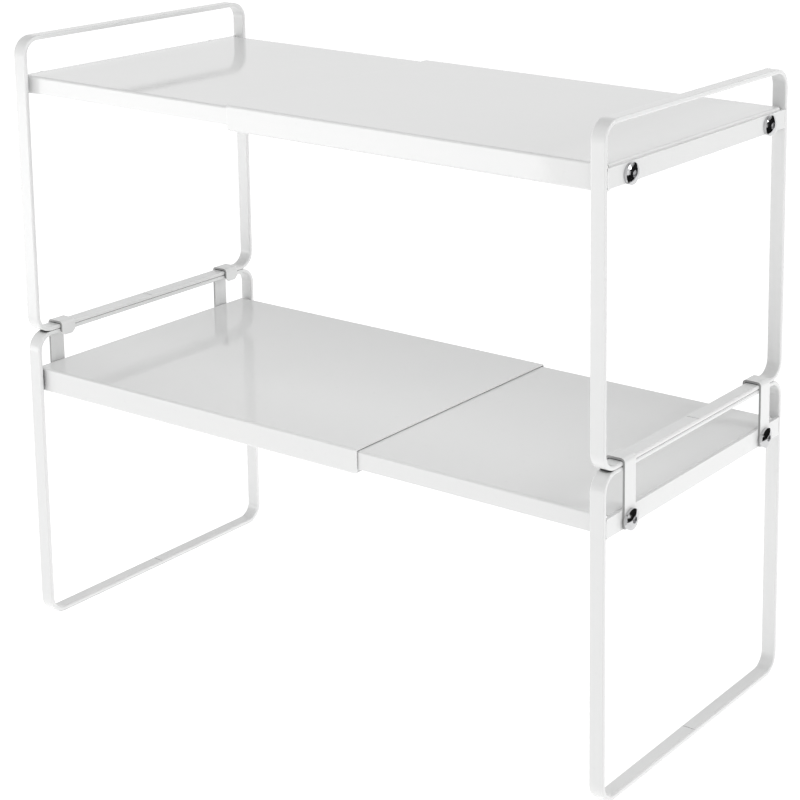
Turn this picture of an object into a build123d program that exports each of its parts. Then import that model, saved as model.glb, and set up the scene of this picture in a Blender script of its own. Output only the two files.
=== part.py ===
from build123d import *

import os

# A two-tier shelf riser: two identical extending shelf units, one standing on the other.
# Each unit has a side frame at either end and two pressed steel panels that slide one inside
# the other, so the shelf can be pulled longer. The upper unit is the lower one turned half
# round, which puts its wider panel at the other end. Four bolted clips tie the units together.
#
# Millimetres. X runs along the shelf, Y from front to back and Z up. The origin is on the floor,
# in the middle of the footprint.

# Whole object
SHELF_LENGTH = 464.0  # over the side frames, part-way extended
SHELF_DEPTH = 200.0  # over the side frames
TIER_HEIGHT = 200.0  # one side frame, floor to top

# Side frames: flat bar bent into a closed loop
BAR_WIDTH = 10.0
BAR_THICKNESS = 2.8
BAR_EDGE_RADIUS = 1.0
LOOP_CORNER_RADIUS = 12.0
WELD_SEAM_WIDTH = 0.6
WELD_SEAM_DEPTH = 0.3

# Crossbars: flat strips welded in between the legs, level with the outside of the frame
CROSSBAR_THICKNESS = 2.0
CROSSBAR_HEIGHT = 11.5
CROSSBAR_DROP = 1.7  # from the top of the shelf down to the top of the crossbar

# Panels: bent sheet, open underneath
SHEET = 0.8
BEND_RADIUS = 1.4  # outside of the bend
SHELF_TOP = 175.5  # top of the outer panel above the bottom of its frame
OUTER_PANEL_LENGTH = 279.0
OUTER_PANEL_WIDTH = 190.8
OUTER_SKIRT_HEIGHT = 16.0
OUTER_LIP = 6.0  # turned in under the inner panel, and holds it
INNER_PANEL_LENGTH = 278.0
INNER_CLEARANCE = 0.4  # between the two sheets, on the top and on each side
INNER_LIP_CLEARANCE = 2.5  # between the inner skirt and the outer panel's lip
END_FLANGE_RISE = 0.5  # from the bottom of the crossbar up to the end flange
END_FLANGE_INSET = 2.0  # from the side of the panel to the side of its end flange
CORNER_RELIEF = 2.4  # length of skirt cut away at the bolted end, so that the end can bend down
FREE_CORNER_RADIUS = 3.0

# Fasteners: two at each end of each unit
BOLT_SPREAD = 152.0
BOLT_DROP = 8.1  # from the top of the shelf down to the bolts
BOLT_RADIUS = 2.5
BOLT_LENGTH = 10.0
BOLT_TIP_CHAMFER = 0.6
BOLT_HOLE_RADIUS = 2.8
HEAD_RADIUS = 6.3
HEAD_RIM_HEIGHT = 1.0
HEAD_DOME_HEIGHT = 1.5
SOCKET_ACROSS_FLATS = 4.0
SOCKET_DEPTH = 1.8
WASHER_THICKNESS = 1.0
NUT_ACROSS_FLATS = 8.0
NUT_THICKNESS = 4.0
NUT_BORE_RADIUS = 2.53
NUT_CHAMFER = 0.6

# Clips: strips hooked over the upper frame and held by the lower unit's bolts
CLIP_THICKNESS = 1.5
CLIP_WIDTH = 11.0
CLIP_BEND_RADIUS = 2.6
CLIP_GAP = 0.4  # between the hook and the bars inside it
CLIP_LIP_REACH = 2.0  # below the lower frame's top bar
CLIP_LIP_CHAMFER = 2.5
CLIP_FOOT_RADIUS = 1.0

# Worked out from the sizes above
FRAME_FACE = SHELF_LENGTH / 2  # outside of a side frame
PANEL_END = FRAME_FACE - CROSSBAR_THICKNESS  # where the panel bears on the crossbar
CLIP_FACE = FRAME_FACE + CLIP_THICKNESS
CROSSBAR_TOP = SHELF_TOP - CROSSBAR_DROP
CROSSBAR_BOTTOM = CROSSBAR_TOP - CROSSBAR_HEIGHT
BOLT_Z = SHELF_TOP - BOLT_DROP
BOLT_YS = (-BOLT_SPREAD / 2, BOLT_SPREAD / 2)
SHEET_STEP = SHEET + INNER_CLEARANCE  # how far the inner panel sits inside the outer one
INNER_PANEL_WIDTH = OUTER_PANEL_WIDTH - 2 * SHEET_STEP
INNER_SKIRT_HEIGHT = OUTER_SKIRT_HEIGHT - SHEET_STEP - SHEET - INNER_LIP_CLEARANCE
THROUGH = 50.0  # length of a cutter that passes right through a piece


def side_frame():
    """Loop of flat bar, its wide face outwards and its butt weld in the middle of the bottom.

    The loop stands on Z 0 and fills X 0 to BAR_WIDTH.
    """
    outline = RectangleRounded(SHELF_DEPTH, TIER_HEIGHT, LOOP_CORNER_RADIUS)
    opening = RectangleRounded(
        SHELF_DEPTH - 2 * BAR_THICKNESS,
        TIER_HEIGHT - 2 * BAR_THICKNESS,
        LOOP_CORNER_RADIUS - BAR_THICKNESS,
    )
    loop = extrude(Plane.YZ * (outline - opening), BAR_WIDTH)
    rim_edges = loop.faces().filter_by(Axis.X).edges()
    loop = Pos(0, 0, TIER_HEIGHT / 2) * fillet(rim_edges, BAR_EDGE_RADIUS)
    seam = Box(THROUGH, WELD_SEAM_WIDTH, 2 * WELD_SEAM_DEPTH)
    return loop - seam - Pos(0, 0, BAR_THICKNESS) * seam


def bolt_holes(x):
    """Cutters for the bolts through whatever crosses X."""
    hole = Rot(0, 90, 0) * Cylinder(BOLT_HOLE_RADIUS, THROUGH)
    return [Pos(x, y, BOLT_Z) * hole for y in BOLT_YS]


def crossbar():
    """Strip between the right-hand legs, in place."""
    strip = Box(CROSSBAR_THICKNESS, SHELF_DEPTH - 2 * BAR_THICKNESS, CROSSBAR_HEIGHT)
    x = FRAME_FACE - CROSSBAR_THICKNESS / 2
    z = CROSSBAR_BOTTOM + CROSSBAR_HEIGHT / 2
    return Pos(x, 0, z) * strip - bolt_holes(FRAME_FACE)


def channel_section(width, height, lip):
    """Section of a sheet channel that opens downwards, with its top on the X axis.

    The sheet turns in by lip under each side; a lip of 0 leaves the sides straight.
    """
    closed_height = height if lip else height + 2 * BEND_RADIUS
    sheet = RectangleRounded(width, closed_height, BEND_RADIUS) - RectangleRounded(
        width - 2 * SHEET, closed_height - 2 * SHEET, BEND_RADIUS - SHEET
    )
    mouth_height = 4 * BEND_RADIUS
    mouth_depth = SHEET if lip else 0
    mouth = Rectangle(width - 2 * lip, mouth_height)
    mouth_y = -height + mouth_depth - mouth_height / 2
    return Pos(0, -closed_height / 2) * sheet - Pos(0, mouth_y) * mouth


def bent_end_section(run, drop):
    """Section of a sheet that ends in a bend down, with the outside of the corner at 0, 0."""
    ring = RectangleRounded(2 * run, 2 * drop, BEND_RADIUS) - RectangleRounded(
        2 * (run - SHEET), 2 * (drop - SHEET), BEND_RADIUS - SHEET
    )
    quarter = Pos(-run / 2, -drop / 2) * Rectangle(run, drop)
    return (Pos(-run, -drop) * ring) & quarter


def free_corner_cutter():
    """Rounds off the lower corner of a channel that starts at X 0 and stands on Z 0."""
    radius = FREE_CORNER_RADIUS
    square = Pos(radius / 2, radius / 2) * Rectangle(radius, radius)
    corner = square - Pos(radius, radius) * Circle(radius)
    return extrude(Plane.XZ * corner, SHELF_DEPTH / 2, both=True)


def panel(length, width, skirt_height, lip, top):
    """Right-hand shelf panel in place, bolted to the crossbar at its end flange."""
    channel_length = length - CORNER_RELIEF
    section = channel_section(width, skirt_height, lip)
    channel = extrude(Plane.YZ.offset(-length) * section, channel_length)
    channel -= Pos(-length, 0, -skirt_height) * free_corner_cutter()

    tongue_length = CORNER_RELIEF - BEND_RADIUS
    tongue = Box(tongue_length, width - 2 * BEND_RADIUS, SHEET)
    tongue = Pos(-BEND_RADIUS - tongue_length / 2, 0, -SHEET / 2) * tongue

    flange_width = width - 2 * END_FLANGE_INSET
    flange_height = top - CROSSBAR_BOTTOM - END_FLANGE_RISE
    flange_section = bent_end_section(CORNER_RELIEF, flange_height)
    flange = extrude(Plane.XZ * flange_section, flange_width / 2, both=True)

    sheet = Pos(PANEL_END, 0, top) * (channel + tongue + flange)
    return sheet - bolt_holes(FRAME_FACE)


def outer_panel():
    """The wider panel, whose lips hold the inner one."""
    return panel(OUTER_PANEL_LENGTH, OUTER_PANEL_WIDTH, OUTER_SKIRT_HEIGHT, OUTER_LIP, SHELF_TOP)


def inner_panel():
    """The narrower panel, which slides inside the outer one."""
    top = SHELF_TOP - SHEET_STEP
    return panel(INNER_PANEL_LENGTH, INNER_PANEL_WIDTH, INNER_SKIRT_HEIGHT, 0, top)


def along_x(part, x):
    """Copies of a fastener that was made on the Z axis, laid along X at both bolt places."""
    laid = Rot(0, 90, 0) * part
    return Compound([Pos(x, y, BOLT_Z) * laid for y in BOLT_YS])


def bolts(seat):
    """Low domed bolts with a hex socket; seat is the X of the face their heads bear on."""
    top = HEAD_RIM_HEIGHT + HEAD_DOME_HEIGHT
    rim = Line((HEAD_RADIUS, 0), (HEAD_RADIUS, HEAD_RIM_HEIGHT))
    dome = TangentArc((0, top), (HEAD_RADIUS, HEAD_RIM_HEIGHT), tangent=(1, 0))
    base = Polyline((0, top), (0, 0), (HEAD_RADIUS, 0))
    head = revolve(Plane.XZ * make_face([rim, dome, base]), Axis.Z)
    shank = Pos(0, 0, -BOLT_LENGTH / 2) * Cylinder(BOLT_RADIUS, BOLT_LENGTH)
    tip = shank.edges().group_by(Axis.Z)[0]
    shank = chamfer(tip, BOLT_TIP_CHAMFER)
    socket = extrude(
        Pos(0, 0, top) * RegularPolygon(SOCKET_ACROSS_FLATS / 2, 6, major_radius=False), -SOCKET_DEPTH
    )
    return along_x(head + shank - socket, seat)


def washers(seat):
    """Flat washers that lie against the face at X seat."""
    disc = Cylinder(HEAD_RADIUS, WASHER_THICKNESS) - Cylinder(BOLT_HOLE_RADIUS, THROUGH)
    return along_x(Pos(0, 0, WASHER_THICKNESS / 2) * disc, seat)


def nuts():
    """Hex nuts inside the end flange, with two flats level."""
    blank = extrude(
        RegularPolygon(NUT_ACROSS_FLATS / 2, 6, major_radius=False, rotation=30), NUT_THICKNESS
    )
    corner_radius = NUT_ACROSS_FLATS / 3**0.5
    turned = Pos(0, 0, NUT_THICKNESS / 2) * Cylinder(corner_radius, NUT_THICKNESS)
    turned = chamfer(turned.edges().filter_by(GeomType.CIRCLE), NUT_CHAMFER)
    nut = (blank & turned) - Cylinder(NUT_BORE_RADIUS, THROUGH)
    return along_x(nut, PANEL_END - SHEET - NUT_THICKNESS)


def clip(y):
    """Strip from the bolt at y up over the upper frame's bottom bar, with a lip down inside it."""
    lip_face = FRAME_FACE - BAR_WIDTH - CLIP_GAP - CLIP_THICKNESS
    hook_top = TIER_HEIGHT + BAR_THICKNESS + CLIP_GAP + CLIP_THICKNESS
    lip_bottom = TIER_HEIGHT - BAR_THICKNESS - CLIP_LIP_REACH
    span = CLIP_FACE - lip_face
    drop = hook_top - CROSSBAR_BOTTOM
    closed_drop = drop + 2 * CLIP_BEND_RADIUS

    ring = RectangleRounded(span, closed_drop, CLIP_BEND_RADIUS) - RectangleRounded(
        span - 2 * CLIP_THICKNESS, closed_drop - 2 * CLIP_THICKNESS, CLIP_BEND_RADIUS - CLIP_THICKNESS
    )
    below = Pos(0, -closed_drop / 2 - drop) * Rectangle(2 * span, closed_drop)
    under_lip = Pos(-span / 2, lip_bottom - hook_top - drop) * Rectangle(span, 2 * drop)
    hook = Pos(0, -closed_drop / 2) * ring - below - under_lip
    strip = extrude(Plane.XZ * hook, CLIP_WIDTH / 2, both=True)
    strip = Pos(lip_face + span / 2, 0, hook_top) * strip

    lip_corners = strip.edges().filter_by(Axis.X).group_by(Axis.Z)[1]
    strip = chamfer(lip_corners, CLIP_LIP_CHAMFER)
    foot_corners = strip.edges().filter_by(Axis.X).group_by(Axis.Z)[0]
    strip = fillet(foot_corners, CLIP_FOOT_RADIUS)
    return Pos(0, y, 0) * strip - bolt_holes(FRAME_FACE)


def turned_round(part):
    """The same piece at the other end: a half turn about Z."""
    return Rot(0, 0, 180) * part


def unit_pieces(level, heads_on_clips):
    """The pieces of one unit, named for its level, with the inner panel at the right."""
    head_seat = CLIP_FACE if heads_on_clips else FRAME_FACE
    frame = Pos(FRAME_FACE - BAR_WIDTH, 0, 0) * side_frame()
    pieces = {
        f"{level}_inner_panel": inner_panel(),
        f"{level}_outer_panel": turned_round(outer_panel()),
    }
    end_pieces = {
        "frame": frame,
        "crossbar": crossbar(),
        "bolts": bolts(head_seat + WASHER_THICKNESS),
        "washers": washers(head_seat),
        "nuts": nuts(),
    }
    for name, piece in end_pieces.items():
        pieces[f"{level}_right_{name}"] = piece
        pieces[f"{level}_left_{name}"] = turned_round(piece)
    return pieces


def all_pieces():
    """Every named piece of the riser, in place."""
    pieces = unit_pieces("lower", heads_on_clips=True)
    for name, piece in unit_pieces("upper", heads_on_clips=False).items():
        swapped = name.replace("right", "other").replace("left", "right").replace("other", "left")
        pieces[swapped] = Pos(0, 0, TIER_HEIGHT) * turned_round(piece)
    front_y, rear_y = BOLT_YS
    pieces["right_front_clip"] = clip(front_y)
    pieces["right_rear_clip"] = clip(rear_y)
    pieces["left_front_clip"] = turned_round(clip(rear_y))
    pieces["left_rear_clip"] = turned_round(clip(front_y))
    return pieces


os.makedirs("parts", exist_ok=True)
for node, piece in all_pieces().items():
    export_step(piece, f"parts/{node}.step")
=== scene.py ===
"""Looks of the tiered shelf riser: its finishes, the studio and the camera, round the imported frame.

Metres, in the frame's axes: X along the shelves, Y from front to back, Z up from the floor.
"""

import math

import bpy
from mathutils import Matrix, Vector


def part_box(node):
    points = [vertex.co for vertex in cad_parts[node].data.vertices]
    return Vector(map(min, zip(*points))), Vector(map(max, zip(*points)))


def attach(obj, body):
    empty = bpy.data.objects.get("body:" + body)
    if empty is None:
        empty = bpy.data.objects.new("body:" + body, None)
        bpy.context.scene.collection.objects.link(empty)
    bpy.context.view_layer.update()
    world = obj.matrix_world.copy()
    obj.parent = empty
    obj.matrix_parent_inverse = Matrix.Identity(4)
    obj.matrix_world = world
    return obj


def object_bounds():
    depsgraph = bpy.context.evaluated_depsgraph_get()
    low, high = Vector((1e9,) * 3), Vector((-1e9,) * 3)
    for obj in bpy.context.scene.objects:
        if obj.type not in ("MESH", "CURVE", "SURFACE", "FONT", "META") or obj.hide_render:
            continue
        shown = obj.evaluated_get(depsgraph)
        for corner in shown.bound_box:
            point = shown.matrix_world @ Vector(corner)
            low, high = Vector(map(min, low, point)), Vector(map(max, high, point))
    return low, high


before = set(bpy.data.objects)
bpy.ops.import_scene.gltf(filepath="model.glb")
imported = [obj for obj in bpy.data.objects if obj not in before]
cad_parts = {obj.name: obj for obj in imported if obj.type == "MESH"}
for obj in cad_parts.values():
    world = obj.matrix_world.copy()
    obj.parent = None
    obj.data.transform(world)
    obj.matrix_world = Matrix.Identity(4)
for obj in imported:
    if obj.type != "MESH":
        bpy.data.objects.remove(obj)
CAD_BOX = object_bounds()

# The object's own sizes, taken from the frame
LOW, HIGH = CAD_BOX
CENTRE = (LOW + HIGH) / 2
HEIGHT = HIGH.z - LOW.z
MM = 0.001

# Noise keeps mostly between these two values
NOISE_LOW = 0.3
NOISE_HIGH = 0.7

# White powder coat. Its tones are the share of light that it gives back.
COOL_WHITE = (0.785, 0.79, 0.79, 1)
WARM_WHITE = (0.81, 0.81, 0.805, 1)
DRIFT_SIZE = 90 * MM
GLOSS_CLOUD_SIZE = 14 * MM
GLOSS_SPREAD = (-0.03, 0.04)  # of the roughness, below and above its usual value
RUBBED_SIZE = 5 * MM
RUBBED_FROM = 0.62
RUBBED_FULLY = 0.72
RUBBED_TONE = 0.74
RUBBED_SHARE = 0.25
RUBBED_ROUGHNESS = 0.04
# Painted highlight along the coat's sharp edges: how far it fades, its tone and its share.
EDGE_HIGHLIGHT_FADE = 0.9 * MM
EDGE_HIGHLIGHT_TONE = 0.93
EDGE_HIGHLIGHT_SHARE = 0.8
# Painted shade in crevices: how far the occlusion looks, and how dark it paints.
CREVICE_SHADE_REACH = 4 * MM
CREVICE_SHADE_TONE = 0.10
# Tone of a strip's sides that look along Y.
SIDE_DARK_TONE = 0.36
WAVE_SIZE = 70 * MM
PEEL_SIZE = 1.6 * MM
PEEL_DEPTH = 0.012 * MM
COAT_IOR = 1.5

# Chrome of the bolts and washers
CHROME = (0.62, 0.62, 0.63, 1.0)
CHROME_ROUGHNESS = 0.06
STAIN_SIZE = 2.5 * MM
STAIN_TONE_SHARE = 0.86
STAIN_ROUGHNESS_SHARE = 1.7
SCRATCH_SIZE = 0.5 * MM
SCRATCH_FROM = 0.6
SCRATCH_FULLY = 0.75
SCRATCH_ROUGHNESS = 0.08
SCRATCH_DEPTH = 0.004 * MM
TURNING_PITCH = 0.35 * MM
TURNING_DEPTH = 0.003 * MM

# Zinc plate of the nuts
DARK_ZINC = (0.52, 0.53, 0.55, 1)
LIGHT_ZINC = (0.70, 0.71, 0.72, 1)
ZINC_CLOUD_SIZE = 1.8 * MM
ZINC_ROUGHNESS = (0.30, 0.46)  # smoothest and roughest
ZINC_GRAIN_SIZE = 0.25 * MM
ZINC_GRAIN_DEPTH = 0.006 * MM

# Weld beads
WELD_STEPS = 24
WELD_SIDES = 10
WELD_WIDTH = 1.8 * MM
WELD_PROUD = 0.35 * MM
WELD_OVERRUN = 0.3 * MM  # past the crossbar, above it and below it
WELD_RIPPLE = 1.6 * MM
WELD_RIPPLE_SHARE = 0.18
WELD_TIP_SHARE = 0.05

# Camera. Its lens points past the upper right of the riser and is shifted back onto it.
CAMERA_PLACE = CENTRE + Vector((2.063, -2.425, 1.059)) * HEIGHT
CAMERA_AZIMUTH = 30.56  # degrees, from the front towards the right-hand end
CAMERA_ELEVATION = 10.87
CAMERA_ROLL = 0.93
CAMERA_LENS = 90.75  # millimetres
CAMERA_SENSOR = 36.0  # millimetres
CAMERA_SHIFT = {"shift_x": -0.4183, "shift_y": -0.3950}  # in widths of the picture
SHIFT_REACH = 1 * MM  # the lens is shifted while the camera is nearer than this to its place

# Studio light, where 1 is white in the picture
ZENITH_LIGHT = 0.24
HORIZON_LIGHT = 1.25
FRONT_DIMMING = 0.65  # share of the sky's light that is missing straight in front of the riser
FLOOR_GLOW = 0.90
FLOOR_REFLECTANCE = 0.40
FLOOR_FLECK_SHARE = 0.98  # how bright its darker flecks are beside the rest
FLOOR_FLECK_SIZE = 300 * MM
FLOOR_RADIUS = 60 * HEIGHT
FLOOR_SIDES = 96
FLOOR_GAP = 0.1 * MM

# Softboxes and black cards. Places, targets and sizes are in heights of the riser, places and
# targets are from its centre, and power is in watts.
MIDDLE = (0, 0, 0)
SOFTBOXES = {
    "key_left": dict(place=(-1.7, -1.7, -0.2), target=(-0.2, 0, -0.2), size=(1.8, 0.6), power=1.1),
    "low_front": dict(place=(0.3, -1.6, -0.28), target=(0.1, 0, -0.28), size=(1.2, 0.4), power=0.25),
    "top_left": dict(place=(-1.7, -0.8, 2.4), target=MIDDLE, size=(1.0, 1.0), power=0.6),
    "top_front": dict(place=(0.2, -1.4, 2.2), target=MIDDLE, size=(1.6, 1.2), power=1.9),
    "top_rear": dict(place=(1.2, 2.0, 1.8), target=MIDDLE, size=(1.6, 0.8), power=0.6),
    "right": dict(place=(2.6, 0.7, 1.2), target=MIDDLE, size=(0.6, 0.9), power=1.8),
}
BLACK_CARDS = {
    "card_right": dict(place=(2.25, 2.05, 0.3), target=MIDDLE, size=(3.4, 1.6)),
    "card_below": dict(place=(3.2, 1.6, -0.49), target=(3.2, 1.6, 0.51), size=(3.4, 3.4)),
}
CLOTH_TONES = (0.008, 0.015)  # darkest and lightest
CLOTH_NAP_SIZE = 4 * MM


# ---------------------------------------------------------------- shader helpers


class Shader:
    """A material's node tree, with one short method for each kind of node."""

    def __init__(self, name):
        self.material = bpy.data.materials.new(name)
        self.material.use_nodes = True
        self.tree = self.material.node_tree
        self.surface = self.tree.nodes["Principled BSDF"]
        coordinates = self.node("ShaderNodeTexCoord")
        self.place = coordinates.outputs["Object"]
        self.facing = coordinates.outputs["Normal"]

    def node(self, kind, **settings):
        made = self.tree.nodes.new(kind)
        for key, value in settings.items():
            setattr(made, key, value)
        return made

    def link(self, source, target):
        """Joins an output to an input, or sets the input to a plain value."""
        if isinstance(source, bpy.types.NodeSocket):
            self.tree.links.new(source, target)
        else:
            target.default_value = source

    def noise(self, size, detail=2.0):
        """Noise from 0 to 1 whose blotches are about size metres across."""
        made = self.node("ShaderNodeTexNoise")
        made.inputs["Scale"].default_value = 1 / size
        made.inputs["Detail"].default_value = detail
        self.link(self.place, made.inputs["Vector"])
        return made.outputs["Fac"]

    def stretch(self, source, low, high, to_low=0.0, to_high=1.0):
        """Maps low..high of a value to to_low..to_high, and clamps it there."""
        made = self.node("ShaderNodeMapRange")
        self.link(source, made.inputs["Value"])
        made.inputs["From Min"].default_value = low
        made.inputs["From Max"].default_value = high
        made.inputs["To Min"].default_value = to_low
        made.inputs["To Max"].default_value = to_high
        return made.outputs["Result"]

    def math(self, operation, first, second=0.0):
        """One sum on two values, each of them a number or an output."""
        made = self.node("ShaderNodeMath", operation=operation)
        self.link(first, made.inputs[0])
        self.link(second, made.inputs[1])
        return made.outputs[0]

    def blend(self, share, first, second):
        """Colour that goes from first to second as share goes from 0 to 1."""
        made = self.node("ShaderNodeMix", data_type="RGBA")
        self.link(share, made.inputs[0])
        self.link(first, made.inputs[6])
        self.link(second, made.inputs[7])
        return made.outputs[2]

    def bump(self, height, distance, under=None):
        """Bump whose full height is distance metres, laid over another bump if one is given."""
        made = self.node("ShaderNodeBump")
        made.inputs["Distance"].default_value = distance
        self.link(height, made.inputs["Height"])
        if under is not None:
            self.link(under, made.inputs["Normal"])
        return made.outputs["Normal"]

    def edge(self, radius):
        """1 on sharp edges and 0 away from them, fading over radius metres."""
        flat_cosine = 0.995
        sharp_cosine = 0.85
        rounded = self.node("ShaderNodeBevel", samples=4)
        rounded.inputs["Radius"].default_value = radius
        plain = self.node("ShaderNodeNewGeometry").outputs["Normal"]
        facing = self.node("ShaderNodeVectorMath", operation="DOT_PRODUCT")
        self.link(rounded.outputs["Normal"], facing.inputs[0])
        self.link(plain, facing.inputs[1])
        return self.stretch(facing.outputs["Value"], flat_cosine, sharp_cosine)

    def crevice(self, reach, limit):
        """1 where nearby surfaces leave less than about limit of the sky open, and 0 elsewhere.

        Surfaces further than reach metres away are left out of it.
        """
        darkest = 0.6 * limit
        shade = self.node("ShaderNodeAmbientOcclusion", samples=8)
        shade.inputs["Distance"].default_value = reach
        return self.stretch(shade.outputs["AO"], limit, darkest)

    def finish(self, **inputs):
        """Sets the surface's inputs, named with _ for each space, and gives back the material."""
        for name, value in inputs.items():
            self.link(value, self.surface.inputs[name.replace("_", " ")])
        return self.material


def grey(value):
    return (value, value, value, 1.0)


# ---------------------------------------------------------------- finishes


def powder_coat(name, smooth, wavy, shadowed, dark_sides=False):
    """Glossy white powder coat: orange peel, a slow drift of tone and gloss, painted edge highlight and
    crevice shade.

    smooth is its roughness, and wavy is how far the steel under it is out of flat, in metres.
    shadowed is the share of open sky below which a crevice gets painted shade.
    dark_sides darkens the sides of a strip that look along Y.
    """
    shader = Shader(name)
    drift = shader.noise(DRIFT_SIZE)
    cloud = shader.noise(GLOSS_CLOUD_SIZE, detail=4.0)
    rubbed = shader.stretch(shader.noise(RUBBED_SIZE, detail=6.0), RUBBED_FROM, RUBBED_FULLY)
    edge = shader.edge(EDGE_HIGHLIGHT_FADE)

    coat = shader.blend(drift, COOL_WHITE, WARM_WHITE)
    coat = shader.blend(shader.math("MULTIPLY", rubbed, RUBBED_SHARE), coat, grey(RUBBED_TONE))
    # Painted highlight: a lighter grey along sharp edges.
    coat = shader.blend(shader.math("MULTIPLY", edge, EDGE_HIGHLIGHT_SHARE), coat, grey(EDGE_HIGHLIGHT_TONE))
    # Painted shade: crevices with little open sky are darkened.
    coat = shader.blend(shader.crevice(CREVICE_SHADE_REACH, shadowed), coat, grey(CREVICE_SHADE_TONE))
    if dark_sides:
        # Sides that look along Y are darkened.
        rounding_starts = 0.85
        side_starts = 0.95
        facing = shader.node("ShaderNodeSeparateXYZ")
        shader.link(shader.facing, facing.inputs[0])
        sideways = shader.math("ABSOLUTE", facing.outputs["Y"])
        side = shader.stretch(sideways, rounding_starts, side_starts)
        coat = shader.blend(side, coat, grey(SIDE_DARK_TONE))

    glossier, duller = (smooth + change for change in GLOSS_SPREAD)
    roughness = shader.stretch(cloud, NOISE_LOW, NOISE_HIGH, glossier, duller)
    roughness = shader.math("ADD", roughness, shader.math("MULTIPLY", rubbed, RUBBED_ROUGHNESS))

    waves = shader.bump(shader.noise(WAVE_SIZE, detail=1.0), wavy)
    peel = shader.bump(shader.noise(PEEL_SIZE, detail=2.0), PEEL_DEPTH, under=waves)
    return shader.finish(Base_Color=coat, Roughness=roughness, Normal=peel, IOR=COAT_IOR)


def turned_chrome(name, spread, height):
    """Chrome plate with the fine rings of turning round each fastener of a front-and-rear pair.

    spread is how far each one is from the middle of the object, and height is their Z.
    """
    shader = Shader(name)
    parts = shader.node("ShaderNodeSeparateXYZ")
    shader.link(shader.place, parts.inputs[0])
    across = shader.math("SUBTRACT", shader.math("ABSOLUTE", parts.outputs["Y"]), spread)
    up = shader.math("SUBTRACT", parts.outputs["Z"], height)
    across_squared = shader.math("MULTIPLY", across, across)
    up_squared = shader.math("MULTIPLY", up, up)
    radius = shader.math("SQRT", shader.math("ADD", across_squared, up_squared))
    rings = shader.math("SINE", shader.math("MULTIPLY", radius, math.tau / TURNING_PITCH))

    stain = shader.noise(STAIN_SIZE, detail=5.0)
    scratch = shader.stretch(shader.noise(SCRATCH_SIZE, detail=3.0), SCRATCH_FROM, SCRATCH_FULLY)
    stained = [STAIN_TONE_SHARE * channel for channel in CHROME[:3]] + [1.0]
    colour = shader.blend(stain, CHROME, stained)
    dulled = CHROME_ROUGHNESS * STAIN_ROUGHNESS_SHARE
    roughness = shader.stretch(stain, NOISE_LOW, NOISE_HIGH, CHROME_ROUGHNESS, dulled)
    roughness = shader.math("ADD", roughness, shader.math("MULTIPLY", scratch, SCRATCH_ROUGHNESS))
    marks = shader.bump(scratch, SCRATCH_DEPTH)
    turned = shader.bump(rings, TURNING_DEPTH, under=marks)
    return shader.finish(Base_Color=colour, Metallic=1.0, Roughness=roughness, Normal=turned)


def zinc(name):
    """Dull zinc plate, clouded, with a fine grain."""
    shader = Shader(name)
    cloud = shader.noise(ZINC_CLOUD_SIZE, detail=5.0)
    grain = shader.noise(ZINC_GRAIN_SIZE, detail=2.0)
    colour = shader.blend(cloud, DARK_ZINC, LIGHT_ZINC)
    roughness = shader.stretch(cloud, NOISE_LOW, NOISE_HIGH, *ZINC_ROUGHNESS)
    grained = shader.bump(grain, ZINC_GRAIN_DEPTH)
    return shader.finish(Base_Color=colour, Metallic=1.0, Roughness=roughness, Normal=grained)


def give(node, material):
    """The finish of one CAD node."""
    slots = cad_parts[node].data.materials
    slots.clear()
    slots.append(material)


def finish_nodes():
    """Every CAD node's finish, chosen by what its name says it is, and the welds in the same coat."""
    bar_coat = powder_coat("bar_powder_coat", smooth=0.20, wavy=0.02 * MM, shadowed=0.48)
    sheet_coat = powder_coat("sheet_powder_coat", smooth=0.06, wavy=0.08 * MM, shadowed=0.28)
    clip_coat = powder_coat(
        "clip_powder_coat", smooth=0.20, wavy=0.02 * MM, shadowed=0.36, dark_sides=True
    )
    zinc_plate = zinc("zinc_plate")
    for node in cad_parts:
        if node.endswith("panel"):
            give(node, sheet_coat)
        elif node.endswith("clip"):
            give(node, clip_coat)
        elif node.endswith("nuts"):
            give(node, zinc_plate)
        elif node.endswith(("bolts", "washers")):
            low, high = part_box(node)
            radius = (high.z - low.z) / 2
            give(node, turned_chrome(f"{node}_chrome", high.y - radius, (low.z + high.z) / 2))
        else:
            give(node, bar_coat)
    crossbar_welds(bar_coat)


# ---------------------------------------------------------------- welds


def weld_bead(name, start, end, material):
    """Rippled ridge of weld along a line on a face that looks along X, tapered at both ends."""
    along = end - start
    outward = Vector((math.copysign(1, start.x), 0, 0))
    across = along.normalized().cross(outward)
    corners = []
    for step in range(WELD_STEPS + 1):
        share = step / WELD_STEPS
        ripple = 1 + WELD_RIPPLE_SHARE * math.sin(math.tau * share * along.length / WELD_RIPPLE)
        swell = ripple * math.sqrt(max(math.sin(math.pi * share), WELD_TIP_SHARE))
        for side in range(WELD_SIDES):
            angle = math.tau * side / WELD_SIDES
            reach = across * math.cos(angle) * WELD_WIDTH / 2 + outward * math.sin(angle) * WELD_PROUD
            corners.append(start + along * share + reach * swell)
    faces = [list(range(WELD_SIDES)), list(range(len(corners) - WELD_SIDES, len(corners)))[::-1]]
    for step in range(WELD_STEPS):
        for side in range(WELD_SIDES):
            here = step * WELD_SIDES
            after = (side + 1) % WELD_SIDES
            faces.append([here + side, here + WELD_SIDES + side, here + WELD_SIDES + after, here + after])
    mesh = bpy.data.meshes.new(name)
    mesh.from_pydata(corners, [], faces)
    for face in mesh.polygons:
        face.use_smooth = True
    mesh.materials.append(material)
    made = bpy.data.objects.new(name, mesh)
    bpy.context.scene.collection.objects.link(made)
    return made


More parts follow.
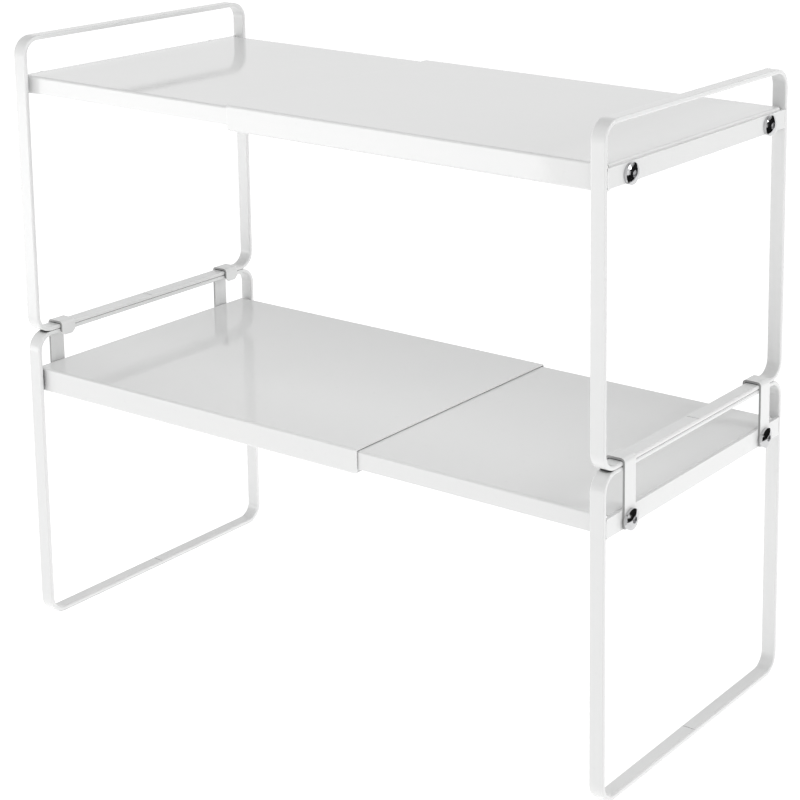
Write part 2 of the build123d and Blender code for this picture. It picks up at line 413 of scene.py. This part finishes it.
def crossbar_welds(material):
    """A bead down each end of each crossbar, where it meets the leg."""
    for level in ("lower", "upper"):
        for side in ("left", "right"):
            low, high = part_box(f"{level}_{side}_crossbar")
            face_x = high.x if side == "right" else low.x
            for end, joint_y in (("front", low.y), ("rear", high.y)):
                bottom = Vector((face_x, joint_y, low.z - WELD_OVERRUN))
                top = Vector((face_x, joint_y, high.z + WELD_OVERRUN))
                bead = weld_bead(f"{level}_{side}_{end}_weld", bottom, top, material)
                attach(bead, f"{side}_half")


# ---------------------------------------------------------------- studio


def floor():
    """Pale floor that glows a little, as a light table does."""
    bpy.ops.mesh.primitive_circle_add(vertices=FLOOR_SIDES, radius=FLOOR_RADIUS, fill_type="NGON")
    made = bpy.context.object
    made.name = "floor"
    made.location.z = LOW.z - FLOOR_GAP
    shader = Shader("floor_pale")
    fleck = shader.noise(FLOOR_FLECK_SIZE)
    dark_fleck = grey(FLOOR_REFLECTANCE * FLOOR_FLECK_SHARE)
    tone = shader.blend(fleck, dark_fleck, grey(FLOOR_REFLECTANCE))
    made.data.materials.append(shader.finish(
        Base_Color=tone, Roughness=0.9, Specular_IOR_Level=0.0,
        Emission_Color=grey(1.0), Emission_Strength=FLOOR_GLOW,
    ))


def soft_sky():
    """Light from all round: brightest at the horizon, dimmer overhead and dimmer from the front."""
    world = bpy.data.worlds.new("soft_sky")
    bpy.context.scene.world = world
    world.use_nodes = True
    nodes, links = world.node_tree.nodes, world.node_tree.links
    direction = nodes.new("ShaderNodeTexCoord").outputs["Generated"]
    parts = nodes.new("ShaderNodeSeparateXYZ")
    links.new(direction, parts.inputs[0])
    fade = nodes.new("ShaderNodeMapRange")
    links.new(parts.outputs["Z"], fade.inputs["Value"])
    fade.inputs["To Min"].default_value = HORIZON_LIGHT
    fade.inputs["To Max"].default_value = ZENITH_LIGHT
    dimmed = nodes.new("ShaderNodeMapRange")
    links.new(parts.outputs["Y"], dimmed.inputs["Value"])
    dimmed.inputs["From Min"].default_value = -1.0
    dimmed.inputs["From Max"].default_value = 0.0
    dimmed.inputs["To Min"].default_value = 1 - FRONT_DIMMING
    strength = nodes.new("ShaderNodeMath")
    strength.operation = "MULTIPLY"
    links.new(fade.outputs["Result"], strength.inputs[0])
    links.new(dimmed.outputs["Result"], strength.inputs[1])
    links.new(strength.outputs[0], nodes["Background"].inputs["Strength"])
    nodes["Background"].inputs["Color"].default_value = grey(1.0)


def from_centre(heights):
    """The place that lies so many riser heights from its centre."""
    return CENTRE + Vector(heights) * HEIGHT


def softbox(name, place, target, size, power):
    """Rectangular lamp that lights the riser but can't be seen itself."""
    lamp = bpy.data.lights.new(name, "AREA")
    lamp.shape = "RECTANGLE"
    lamp.size = size[0] * HEIGHT
    lamp.size_y = size[1] * HEIGHT
    lamp.energy = power
    made = bpy.data.objects.new(name, lamp)
    bpy.context.scene.collection.objects.link(made)
    made.location = from_centre(place)
    view = from_centre(target) - made.location
    made.rotation_euler = view.to_track_quat("-Z", "Y").to_euler()
    made.visible_camera = False


def black_card(name, place, target, size):
    """Black card facing target, which shows only in reflections."""
    bpy.ops.mesh.primitive_plane_add(size=1)
    made = bpy.context.object
    made.name = name
    made.scale = (size[0] * HEIGHT, size[1] * HEIGHT, 1)
    made.location = from_centre(place)
    facing = from_centre(target) - from_centre(place)
    made.rotation_euler = facing.to_track_quat("Z", "Y").to_euler()
    shader = Shader(f"{name}_cloth")
    darkest, lightest = CLOTH_TONES
    nap = shader.blend(shader.noise(CLOTH_NAP_SIZE), grey(darkest), grey(lightest))
    made.data.materials.append(shader.finish(Base_Color=nap, Roughness=1.0, Specular_IOR_Level=0.0))
    made.visible_camera = False
    made.visible_diffuse = False
    made.visible_shadow = False


def studio():
    floor()
    soft_sky()
    for name, settings in SOFTBOXES.items():
        softbox(name, **settings)
    for name, settings in BLACK_CARDS.items():
        black_card(name, **settings)


def shift_at_home(camera_object, home, axis, shift):
    """Shifts the lens while the camera stands at home, and centres it anywhere else.

    The driver measures how far the camera is from home, and a stepped curve turns that into the shift.
    """
    curve = camera_object.data.driver_add(axis)
    curve.modifiers.remove(curve.modifiers[0])
    curve.driver.type = "SUM"
    distance = curve.driver.variables.new()
    distance.type = "LOC_DIFF"
    distance.targets[0].id = camera_object
    distance.targets[1].id = home
    steps = ((0, shift), (SHIFT_REACH, 0))
    curve.keyframe_points.add(len(steps))
    for key, step in zip(curve.keyframe_points, steps):
        key.co = step
        key.interpolation = "CONSTANT"


def camera():
    azimuth = math.radians(CAMERA_AZIMUTH)
    elevation = math.radians(CAMERA_ELEVATION)
    back = Vector((
        math.sin(azimuth) * math.cos(elevation),
        -math.cos(azimuth) * math.cos(elevation),
        math.sin(elevation),
    ))
    lens = bpy.data.cameras.new("camera")
    lens.sensor_width = CAMERA_SENSOR
    lens.lens = CAMERA_LENS
    made = bpy.data.objects.new("camera", lens)
    bpy.context.scene.collection.objects.link(made)
    made.location = CAMERA_PLACE
    turn = (-back).to_track_quat("-Z", "Y").to_matrix()
    roll = Matrix.Rotation(math.radians(CAMERA_ROLL), 3, "Z")
    made.rotation_euler = (turn @ roll).to_euler()
    bpy.context.scene.camera = made
    home = bpy.data.objects.new("camera_home", None)
    bpy.context.scene.collection.objects.link(home)
    home.location = CAMERA_PLACE
    for axis, shift in CAMERA_SHIFT.items():
        shift_at_home(made, home, axis, shift)


finish_nodes()
studio()
camera()
bpy.context.scene.view_settings.view_transform = "Standard"
